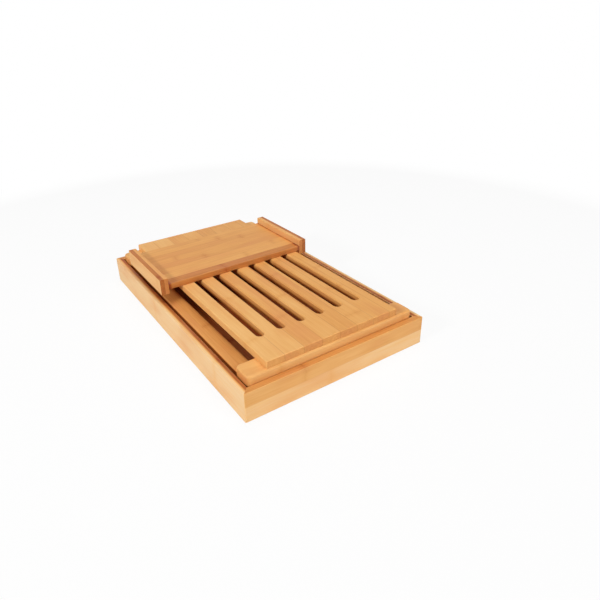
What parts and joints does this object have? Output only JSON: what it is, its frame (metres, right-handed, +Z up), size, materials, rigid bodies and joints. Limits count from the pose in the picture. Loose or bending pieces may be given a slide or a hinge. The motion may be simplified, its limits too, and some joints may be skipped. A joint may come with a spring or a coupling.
{
  "type": "bread slicer guide",
  "caption": "Bamboo bread slicer: an open crumb tray, a slotted crumb grid on a lift-out frame, and a loose guide board between two cheeks lying across the slats.",
  "frame": {"origin": "centre of the crumb tray's underside", "axes": "+X to the right along the tray's short side, +Y to the back along its long side, +Z up"},
  "size_m": [0.23, 0.368, 0.0655],
  "materials": {
    "bamboo_tray": "oiled, satin, laminated strips",
    "bamboo_floor": "oiled, satin, laminated strips",
    "bamboo_frame": "oiled, satin, laminated strips",
    "bamboo_side_rail": "oiled, satin, darker strips",
    "bamboo_grid": "oiled, satin, laminated strips",
    "bamboo_guide": "oiled, satin, laminated strips",
    "bamboo_cheek": "oiled, satin, two plies",
    "bamboo_dowel": "raw",
    "steel_screw": "zinc plated"
  },
  "bodies": {
    "tray": {"tray_front_wall": "bamboo_tray", "tray_rear_wall": "bamboo_tray", "tray_left_wall": "bamboo_tray", "tray_right_wall": "bamboo_tray", "tray_floor": "bamboo_floor", "tray_corner_splines": "bamboo_dowel"},
    "grid_frame": {"frame_front_rail": "bamboo_frame", "frame_rear_rail": "bamboo_frame", "frame_left_rail": "bamboo_side_rail", "frame_right_rail": "bamboo_side_rail", "frame_dowels": "bamboo_dowel", "crumb_grid": "bamboo_grid", "grid_screws": "steel_screw"},
    "guide": {"guide_board": "bamboo_guide", "guide_left_cheek": "bamboo_cheek", "guide_right_cheek": "bamboo_cheek", "guide_left_dowels": "bamboo_dowel", "guide_right_dowels": "bamboo_dowel"}
  },
  "joints": [
    {"name": "frame_lift", "type": "slide", "parent": "tray", "child": "grid_frame", "axis": [0, 0, 1], "range_m": [0, 0.08]},
    {"name": "guide_lift", "type": "slide", "parent": "grid_frame", "child": "guide", "axis": [0, 0, 1], "range_m": [0, 0.1]}
  ]
}
